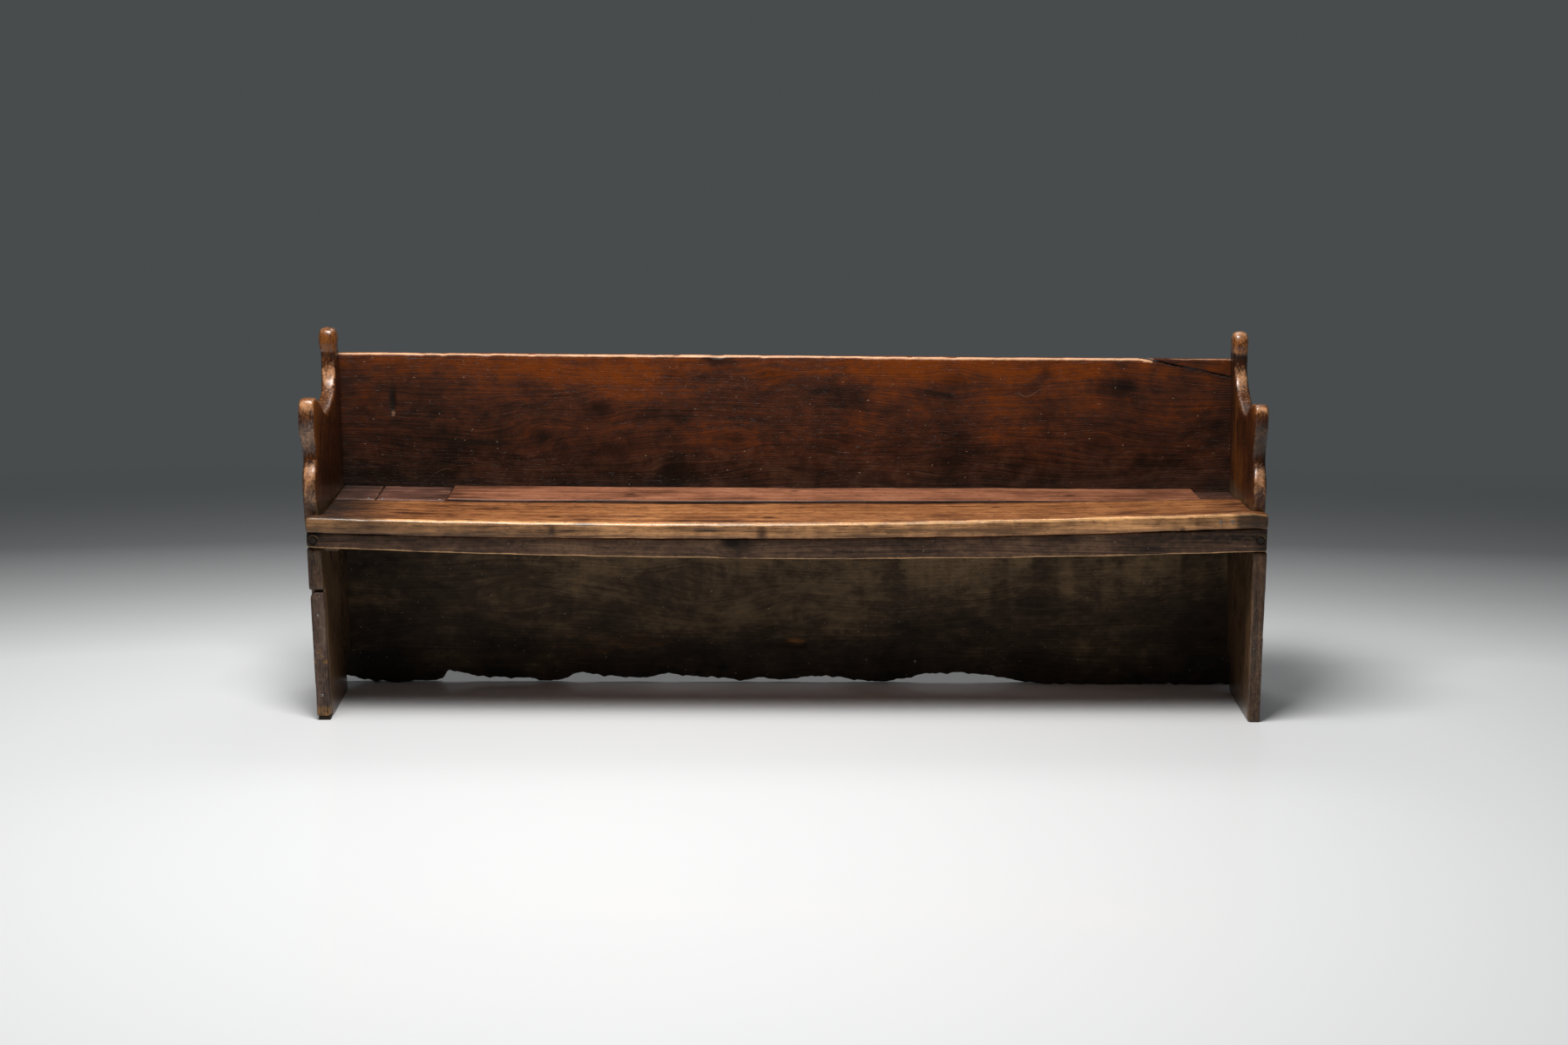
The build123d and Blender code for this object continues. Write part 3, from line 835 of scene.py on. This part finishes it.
def round_inner_arris(piece, side, radius):
    """Rounds a leg's inner front arris to a radius, which may change up the leg."""
    points = vertices(piece)
    aside = radius - (side * points[:, X] - inner_half)
    behind = radius - (points[:, Y] - foot_front)
    reach = np.maximum(np.hypot(aside, behind), 1e-6)
    over = (aside > 0) & (behind > 0) & (reach > radius)
    pull = np.where(over, 1 - radius / reach, 0)
    points[:, X] += side * aside * pull
    points[:, Y] += behind * pull
    move(piece, points)


def shape_end_board(piece, side):
    """Rubs, swells, warps and nicks a board. Gives what is rubbed and what is above the seat, 0 to 1."""
    points = vertices(piece)
    above_seat = ramp(points[:, Z], seat_level - 0.02, seat_level + 0.06)
    foot = spot(points, (side * (half_length - 0.04), foot_front, 0), (0.014, 0.03, 0.02))
    if side == RIGHT:
        round_inner_arris(piece, side, 0.009 + 0.006 * ramp(-points[:, Z], -0.3, 0))
    edge = rub_arrises(piece, 0.4 + 0.6 * above_seat + foot, 9)
    rub_arrises(piece, ramp(points[:, Z], crease_height + 0.01, crease_height + 0.025), 22)
    at_finial = ramp(points[:, Z], crease_height + 0.01, crease_height + 0.03)
    dent(piece, -0.0018 * above_seat - 0.0025 * at_finial)
    warp_end_board(piece, side)
    weather(piece, edge, wave=0.0008, nick=0.004)
    return edge, above_seat


def colour_end_board(piece, side, edge, above_seat, post_y):
    """Keeps where a board is rubbed bright, golden, grey or dirty, and where highlights, sheen and shade
    are painted on it.
    """
    points = vertices(piece)
    facing = normals(piece)
    near = store_grain(piece, Z, Y, end_board_knots)
    to_front = ramp(-facing[:, Y], 0.4, 0.9)
    to_top = ramp(facing[:, Z], 0.2, 0.8) * above_seat
    to_inside = ramp(-side * facing[:, X], 0.3, 0.75)
    rubbed = 0.1 * edge
    grey = (0.75 * to_front + 1.1 * to_inside) * (1 - above_seat)
    # Wear up the arm's front, with painted highlights on the lobe and shoulder and a painted grey sheen
    for height, spread, rub, dull in arm_marks[side]:
        band = spot(points, (0, foot_front, height), (all_over, 0.12, spread))
        rubbed += rub * band * to_front
        grey += dull * band * to_front
    finial = ramp(points[:, Z], crease_height, crease_height + 0.01)
    # A painted sheen on the post's front, laid on as rubbed bright and grey wood. Faces turned up above
    # the seat are rubbed bright, partly wear and partly a painted highlight.
    post = spot(points, (0, post_y, 0.70), (all_over, 0.06, 0.03)) * to_front
    rubbed += (0.05 if side == LEFT else 0.28) * finial + 0.25 * to_top + 0.85 * post
    grey += 0.5 * post
    ragged = np.clip(0.9 + 0.35 * noise(points, (0.010, 0.010, 0.012), 2.2), 0, 1)
    # Painted shade in the crease under the finial
    crease_shade = spot(points, (0, post_y, crease_height - 0.003), (all_over, 0.06, 0.005))
    at_floor = ramp(-points[:, Z], -0.16, 0.0)
    at_back = ramp(points[:, Y], 0.05, 0.15) * (1 - to_front) * (1 - finial)
    # Painted shade in the gap where the splice meets the leg
    splice_gap_shade = spot(points, (0, foot_front, splice_top), (all_over, 0.04, 0.004))
    grime_and_shade = 0.9 * crease_shade + 0.2 * at_floor + 0.35 * at_back + (side == LEFT) * splice_gap_shade * to_front
    store(piece, "wear_and_painted_light", (np.clip(rubbed * ragged, 0, 1), np.clip(grime_and_shade, 0, 0.92), near))
    sunned = 0.4 if side == LEFT else -0.1
    golden = sunned * above_seat * ramp(-points[:, Y], -0.06, 0.12) * (1 - to_front)
    lobe = spot(points, (0, foot_front, lobe_height), (all_over, 0.12, 0.03))
    golden += 0.8 * np.maximum(finial, lobe) + 0.2 * to_inside * (1 - above_seat)
    store(piece, "tone", (golden, 0.0, np.clip(grey * ragged, 0, 0.95)))


def end_board(side, node, material):
    """Leg, arm and finial in one board, rubbed round where hands and feet reach it."""
    piece = even_copy(node, face_size=0.0035)
    edge, above_seat = shape_end_board(piece, side)
    post_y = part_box(node)[1].y - post_inset
    colour_end_board(piece, side, edge, above_seat, post_y)
    dress(piece, node, material)


def patches(points, spread, places):
    """Sum of soft-edged patches at places along and above, with ragged outlines."""
    ragged = points + spread * np.stack([noise(points, 0.07, shift) for shift in (1.1, 4.4, 8.8)], axis=1)
    total = np.zeros(len(points))
    for x, z, length, height, amount in places:
        total += amount * spot(ragged, (x, 0, z), (length, all_over, height))
    return np.clip(total, 0, 1)


def upper_back(node, material, face_size):
    """Wide back board with knots, blotches and a nicked, bright top edge, or its split-off corner."""
    piece = even_copy(node, face_size)
    points = vertices(piece)
    low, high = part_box("back_corner_splinter")
    share = (points[:, X] - low.x) / (high.x - low.x)
    above_crack = points[:, Z] - high.z + share * (high.z - low.z) + 0.0015
    at_crack = np.exp(-((above_crack / 0.004) ** 2)) * ramp(points[:, X], low.x + 0.01, low.x + 0.04)
    sharp = at_crack**0.1
    edge = rub_arrises(piece, 1 - sharp, 4)
    weather(piece, edge * (1 - sharp), wave=0.0008, nick=0.009, nick_size=(0.016, 0.05, 0.05))
    points = vertices(piece)
    old_dent = spot(points, old_dent_place, (0.006, 0.05, 0.03))
    dent(piece, 0.004 * old_dent - 0.0015 * at_crack)

    points = vertices(piece)
    near = store_grain(piece, X, Z, upper_back_knots)
    at_foot = ramp(-points[:, Z], -0.60, -0.45)
    left_end = ramp(-points[:, X], 0.55, 0.95) * ramp(-points[:, Z], -0.69, -0.60)
    darker = 0.8 * patches(points, 0.04, upper_back_smudges)
    darker += 0.25 * at_foot + 0.3 * left_end + old_dent
    lighter = patches(points, 0.03, upper_back_warm) + 0.45 * ramp(points[:, Z], 0.655, 0.725)
    corner = ramp(np.abs(points[:, X]), inner_half - 0.07, inner_half)
    at_seat = ramp(-points[:, Z], -0.475, -0.445)
    # Painted shade in the crack; darker in the old dent, towards the ends and along the seat
    grime_and_shade = np.clip(0.35 * corner + 0.4 * at_seat + 0.8 * old_dent + at_crack, 0, 0.95)
    ends = ramp(np.abs(points[:, X]), half_length - 0.014, half_length - 0.012)
    bright = ramp(edge, 0.15, 0.6) * ramp(points[:, Z], 0.6, 0.7) * (1 - sharp)
    bright += 0.7 * spot(points, pale_chip_place, (0.005, 0.05, 0.010))
    store(piece, "wear_and_painted_light", (bright, grime_and_shade, near))
    store(piece, "tone", (np.clip(lighter, 0, 1), np.clip(darker, 0, 1), 0.8 * ends + 0.5 * at_foot))
    dress(piece, node, material)


def lower_back(node, material):
    """Board down to the floor, dark with damp near the floor and darker towards its ends, its lower edge
    gnawed ragged.
    """
    piece = even_copy(node, face_size=0.0047)
    edge = rub_arrises(piece, np.ones(len(piece.data.vertices)), 2)
    points = vertices(piece)
    near_floor = ramp(-points[:, Z], -0.06, -0.02)
    line = points * (1, 0, 0)
    ragged = 0.0035 * noise(line, 0.045, 3.1) + 0.003 * noise(line, 0.016, 6.2)
    ragged += 0.002 * noise(line, 0.008, 1.7)
    points[:, Z] += near_floor * (ragged - 0.002 - 0.0025 * ramp(points[:, X], 0.3, 0.6))
    move(piece, points)
    weather(piece, edge, wave=0.0008, nick=0.004)
    points = vertices(piece)
    points[:, Z] = np.maximum(points[:, Z], floor_clearance)
    move(piece, points)

    near = store_grain(piece, X, Z, lower_back_knots)
    pale = patches(points, 0.05, lower_back_pale)
    right_half = ramp(points[:, X], 0.1, 0.35) * ramp(points[:, Z], 0.12, 0.3)
    smears = ramp(noise(points, (0.03, all_over, 0.2), 4.2), -0.2, 0.4)
    pale += right_half * (0.05 + 0.6 * smears)
    ruddy = patches(points, 0.04, lower_back_ruddy)
    damp = ramp(-points[:, Z] + 0.05 * noise(points, 0.12, 2.4), -0.24, -0.02)
    # Darker towards the ends
    corner = ramp(np.abs(points[:, X]), inner_half - 0.25, inner_half)
    fresh = spot(points, pocket_place, (0.03, all_over, 0.009)) * (normals(piece)[:, Y] < 0.5)
    grime_and_shade = np.clip(0.52 * damp + 0.33 * corner - 0.6 * fresh, 0, 0.9)
    store(piece, "wear_and_painted_light", (0.65 * fresh, grime_and_shade, 0.5 * near))
    store(piece, "tone", (np.clip(pale, 0, 1), 0.25 * damp, np.clip(0.5 * ruddy, 0, 1)))
    dress(piece, node, material)


def shape_seat_plank(piece):
    """Rubs and nicks the plank and sinks its right ear. Gives where the slit in its front edge is."""
    points = vertices(piece)
    ears = ramp(np.abs(points[:, X]), inner_half - 0.01, inner_half + 0.02)
    edge = rub_arrises(piece, 0.6 + 0.4 * ears, 6)
    weather(piece, edge, wave=0.0009, nick=0.004, nick_size=(0.04, 0.02, 0.02))
    points = vertices(piece)
    slit = spot(points, slit_place, (0.03, 0.012, 0.0025))
    points[:, Z] -= 0.004 * ramp(points[:, X], inner_half, half_length)
    move(piece, points)
    dent(piece, 0.004 * slit)
    return slit


def seat_plank(node, material):
    """Seat plank polished by sitters, its front arris rubbed round, with a painted highlight along it on
    top of the worn colour.
    """
    piece = even_copy(node, face_size=0.0036)
    slit = shape_seat_plank(piece)
    points = vertices(piece)
    facing = normals(piece)
    near = store_grain(piece, X, Y, seat_plank_knots)
    to_front = ramp(-facing[:, Y], 0.45, 0.85)
    for x, z, radius in seat_edge_knots:
        near = np.maximum(near, 0.85 * spot(points, (x, seat_front, z), (radius, 0.03, 1.6 * radius)))
    # A painted highlight along the front arris, on top of its worn colour
    arris = ramp(facing[:, Z], 0.2, 0.7) * ramp(-points[:, Y], -seat_front - 0.014, -seat_front - 0.004)
    at_gap = ramp(points[:, Y], seat_gap - 0.006, seat_gap - 0.003)
    corner = ramp(np.abs(points[:, X]), inner_half - 0.12, inner_half) * (1 - to_front)
    left_corner = 0.25 * corner * (points[:, X] < 0)
    left_corner += 0.6 * ramp(-points[:, X], 0.77, 0.90) * (1 - to_front)
    streaky = np.clip(0.2 + noise(points, (0.12, 0.01, 0.006), 3.7), 0, 1)
    left_front = ramp(-points[:, X], 0.25, 0.8) * to_front
    # Painted shade along the gap to the strip; darker in the slit, at the corners, at the left front and
    # on the right ear
    grime_and_shade = 0.95 * at_gap + 0.25 * corner + left_corner + 0.95 * slit
    right_ear = ramp(points[:, X], 0.93, 0.955) * to_front
    grime_and_shade += 0.25 * streaky * to_front + 0.65 * left_front + 0.9 * right_ear
    store(piece, "wear_and_painted_light", (arris * (1 - 0.6 * corner), np.clip(grime_and_shade, 0, 0.96), near))
    # Lighter middle, partly wear from sitters and partly a painted highlight
    worn_middle_sheen = 0.25 * spot(points, (0.05, -0.08, 0), (0.6, 0.06, all_over))
    left_end = ramp(-points[:, X], 0.60, 0.97) * (1 - to_front)
    darker = np.clip(0.5 * right_ear + 0.45 * corner + 0.6 * left_end, 0, 1)
    store(piece, "tone", (worn_middle_sheen, darker, 0.85 * to_front))
    dress(piece, node, material)


def seat_strip(node, material):
    """Long strip behind the plank. It stands proud of the plank and sinks level with it at the right."""
    piece = even_copy(node, face_size=0.0026)
    edge = rub_arrises(piece, np.ones(len(piece.data.vertices)), 2)
    points = vertices(piece)
    upper = ramp(points[:, Z], seat_level - 0.03, seat_level - 0.01)
    points[:, Z] -= 0.0035 * upper * ramp(points[:, X], 0.45, 0.75)
    shrunk = 0.008 * ramp(points[:, X], -0.60, -0.35) * ramp(-points[:, X], -0.62, -0.2)
    wavy = shrunk + 0.0012 * noise(points * (1, 0, 0), 0.09, 2.6)
    points[:, Y] += wavy * ramp(-points[:, Y], -seat_gap - 0.02, -seat_gap)
    move(piece, points)
    weather(piece, edge, wave=0.0006, nick=0.003, nick_size=(0.04, 0.02, 0.02))

    points = vertices(piece)
    facing = normals(piece)
    near = store_grain(piece, X, Y, seat_strip_knots)
    riser = ramp(-facing[:, Y], 0.5, 0.8)
    at_back = ramp(points[:, Y], 0.125, 0.14)
    # Painted shade on the riser in front, which stands proud of the plank; darker along the back
    store(piece, "wear_and_painted_light", (0.9 * edge * (1 - riser), np.clip(0.97 * riser + 0.3 * at_back, 0, 0.97), near))
    marks = sum(spot(points, (x, y, 0), (length, 0.012, all_over)) for x, y, length in strip_stains)
    ends = 0.35 * ramp(points[:, X], 0.5, 0.85) + 0.45 * ramp(-points[:, X], 0.35, 0.6)
    store(piece, "tone", (0.1, np.clip(0.6 * marks + ends, 0, 1), 0.0))
    dress(piece, node, material)


def seat_fill(node, material):
    """Short patch beside the strip, duller and dirtier than its neighbours."""
    piece = even_copy(node, face_size=0.003)
    edge = rub_arrises(piece, np.ones(len(piece.data.vertices)), 3)
    weather(piece, edge, wave=0.0005, nick=0.002)
    points = vertices(piece)
    near = store_grain(piece, X, Y)
    at_back = ramp(points[:, Y], 0.10, 0.14)
    at_end = np.where(points[:, X] < 0, 0.75, 0.35) * ramp(np.abs(points[:, X]), 0.86, 0.93)
    store(piece, "wear_and_painted_light", (0.6 * edge, np.clip(0.4 * at_back + at_end, 0, 0.9), near))
    store(piece, "tone", (0.1, 0.25 * at_back, 0.0))
    dress(piece, node, material)


def apron(node, material):
    """Dark rail under the seat, with a pale arris along its rubbed lower edge."""
    piece = even_copy(node, face_size=0.0034)
    points = vertices(piece)
    edge = rub_arrises(piece, np.ones(len(points)), 4)
    weather(piece, edge, wave=0.0006, nick=0.003)
    points = vertices(piece)
    facing = normals(piece)
    near = store_grain(piece, X, Z, apron_knots)
    low_arris = ramp(edge, 0.10, 0.45) * ramp(-facing[:, Z], 0.0, 0.35)
    ends = ramp(np.abs(points[:, X]), inner_half - 0.02, half_length)
    ink = spot(points, ink_place, (0.042, 0.1, 0.036))
    ink = np.clip(ink + 0.5 * noise(points, 0.015, 6.6) * ramp(ink, 0.1, 0.5), 0, 1)
    bright = np.clip(low_arris * (1 - ink) + 0.15 * edge, 0, 1)
    store(piece, "wear_and_painted_light", (bright, np.clip(0.5 * ends + 0.9 * ink, 0, 0.9), near))
    pale = np.zeros(len(points))
    for x, z, length, height, amount in apron_scrapes:
        pale += amount * spot(points, (x, seat_front, z), (length, 0.1, height))
    store(piece, "tone", (np.clip(pale, 0, 1), 0.4 * ends, 0.0))
    dress(piece, node, material)


def leg_splice(node, material):
    """Later strip at the left foot, broken away to golden wood at its lower end."""
    piece = even_copy(node, face_size=0.0022)
    edge = rub_arrises(piece, np.ones(len(piece.data.vertices)), 5)
    weather(piece, edge, wave=0.0008, nick=0.003, nick_size=0.014)
    points = vertices(piece)
    outer_corner = ramp(-points[:, X], half_length - 0.022, half_length - 0.004)
    points[:, Z] -= (0.005 + 0.006 * outer_corner) * ramp(points[:, Z], 0.24, 0.28)
    move(piece, points)
    near = store_grain(piece, Z, Y)
    broken = ramp(-points[:, Z], -0.042, -0.018) * (0.7 + 0.4 * noise(points, 0.008, 3.3))
    flecks = ramp(noise(points, 0.007, 7.7), 0.2, 0.6)
    flecks *= spot(points, (0, foot_front, 0.135), (all_over, 0.02, 0.03))
    # Painted shade on the splice's top, inside the gap under the leg
    top = ramp(points[:, Z], 0.276, 0.284)
    store(piece, "wear_and_painted_light", (0.5 * edge, 0.6 * top, near))
    store(piece, "tone", (0.0, 0.0, np.clip(broken + flecks, 0, 1)))
    dress(piece, node, material)


def small_block(node, material, along, across, face_size):
    """Plain cleat, batten, shim or peg, with sawn faces and softened arrises."""
    piece = even_copy(node, face_size)
    edge = rub_arrises(piece, np.ones(len(piece.data.vertices)), 3)
    weather(piece, edge, wave=0.0004, nick=0.0015)
    near = store_grain(piece, along, across)
    store(piece, "wear_and_painted_light", (0.6 * edge, 0.1, near))
    store(piece, "tone", (0.0, 0.0, 0.0))
    dress(piece, node, material)


end_material = end_wood()
end_board(LEFT, "left_end_board", end_material)
end_board(RIGHT, "right_end_board", end_material)
leg_splice("left_leg_splice", splice_wood())
small_block("left_foot_shim", dark_wood("shim_wood"), X, Y, face_size=0.0012)

back_material = upper_back_wood()
upper_back("upper_back_board", back_material, face_size=0.0042)
upper_back("back_corner_splinter", back_material, face_size=0.0022)
lower_back("lower_back_board", lower_back_wood())

seat_plank("seat_front_plank", seat_plank_wood())
seat_strip("seat_rear_strip", seat_strip_wood())
fill_material = seat_fill_wood()
for fill in ("seat_fill_left_outer", "seat_fill_left_inner", "seat_fill_right"):
    seat_fill(fill, fill_material)
apron("front_apron_rail", apron_wood())
small_block("apron_pegs", dark_wood("peg_wood"), Y, X, face_size=0.0012)

cleat_material = cleat_wood()
for cleat in ("left_seat_bearer", "right_seat_bearer"):
    small_block(cleat, cleat_material, Y, Z, face_size=0.0035)
small_block("rear_seat_ledger", cleat_material, X, Z, face_size=0.0035)
for batten in ("outer_left", "inner_left", "middle", "right"):
    small_block("seat_batten_" + batten, cleat_material, Y, X, face_size=0.003)

iron = forged_iron()
for node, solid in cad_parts.items():
    if node.endswith(("nails", "tacks")):
        solid.data.materials.clear()
        solid.data.materials.append(iron)


# Floor, light and camera

def floor_paint():
    """Pale paint that falls off to slate grey behind and beside the bench."""
    pale = rgb(0.82, 0.82, 0.82)
    middle = rgb(0.46, 0.465, 0.465)
    dusk = rgb(0.18, 0.183, 0.183)
    graph = Graph("floor_paint")
    place = graph.put("NewGeometry").outputs["Position"]
    weighted = graph.put("VectorMath", {0: place, 1: distance_weights}, operation="MULTIPLY").outputs[0]
    away = graph.put("VectorMath", {0: weighted, 1: pale_place}, operation="DISTANCE").outputs["Value"]
    stops = [(0.0, pale), (0.05, pale), (0.31, middle), (0.55, dusk), (1.0, backdrop)]
    colour = graph.colours(graph.span(away, fade_start, fade_end), stops)
    graph.join(graph.shader.inputs["Base Color"], colour)
    graph.shader.inputs["Roughness"].default_value = floor_roughness
    path = graph.put("LightPath").outputs
    seen = graph.math("MAXIMUM", path["Is Camera Ray"], path["Is Glossy Ray"])
    seen = graph.math("MAXIMUM", seen, path["Is Transmission Ray"])
    far = graph.math("MULTIPLY", seen, graph.span(away, glow_start, glow_end))
    glow = graph.put("Emission", {"Color": backdrop}).outputs[0]
    mixed = graph.put("MixShader", {0: far, 1: graph.shader.outputs[0], 2: glow}).outputs[0]
    graph.join(graph.tree.nodes["Material Output"].inputs["Surface"], mixed)
    return graph.material


def floor():
    """Wide round floor under the bench."""
    mesh = bpy.data.meshes.new("floor")
    shape = bmesh.new()
    bmesh.ops.create_circle(shape, cap_ends=True, segments=96, radius=floor_radius)
    shape.to_mesh(mesh)
    shape.free()
    mesh.materials.append(floor_paint())
    plane = bpy.data.objects.new("floor", mesh)
    bpy.context.scene.collection.objects.link(plane)


def soft_box(name, place, target, width, depth, power):
    lamp = bpy.data.lights.new(name, "AREA")
    lamp.shape = "RECTANGLE"
    lamp.size = width
    lamp.size_y = depth
    lamp.energy = power
    box = bpy.data.objects.new(name, lamp)
    box.location = place
    box.rotation_euler = (Vector(target) - Vector(place)).to_track_quat("-Z", "Y").to_euler()
    bpy.context.scene.collection.objects.link(box)


def sky():
    """Even pale light from all round, seen as slate grey."""
    world = bpy.data.worlds.new("studio")
    world.use_nodes = True
    nodes = world.node_tree.nodes
    links = world.node_tree.links
    light = nodes["Background"]
    light.inputs["Color"].default_value = sky_colour
    light.inputs["Strength"].default_value = sky_strength
    seen = nodes.new("ShaderNodeBackground")
    seen.inputs["Color"].default_value = backdrop
    path = nodes.new("ShaderNodeLightPath")
    straight = path.outputs["Is Camera Ray"]
    for kind in ("Is Glossy Ray", "Is Transmission Ray"):
        either = nodes.new("ShaderNodeMath")
        either.operation = "MAXIMUM"
        links.new(straight, either.inputs[0])
        links.new(path.outputs[kind], either.inputs[1])
        straight = either.outputs[0]
    choice = nodes.new("ShaderNodeMixShader")
    links.new(straight, choice.inputs[0])
    links.new(light.outputs[0], choice.inputs[1])
    links.new(seen.outputs[0], choice.inputs[2])
    links.new(choice.outputs[0], nodes["World Output"].inputs[0])
    bpy.context.scene.world = world


def camera():
    data = bpy.data.cameras.new("camera")
    data.lens = camera_lens
    data.sensor_width = camera_sensor
    data.clip_end = 100
    view = bpy.data.objects.new("camera", data)
    turn = Matrix.Rotation(-camera_yaw, 4, "Z")
    turn = turn @ Matrix.Rotation(pi / 2 - camera_pitch, 4, "X")
    turn = turn @ Matrix.Rotation(camera_roll, 4, "Z")
    view.matrix_world = Matrix.Translation(camera_place) @ turn
    bpy.context.scene.collection.objects.link(view)
    bpy.context.scene.camera = view


floor()
soft_box("key", **key_light)
soft_box("back", **back_light)
sky()
camera()
bpy.context.scene.view_settings.view_transform = "Standard"
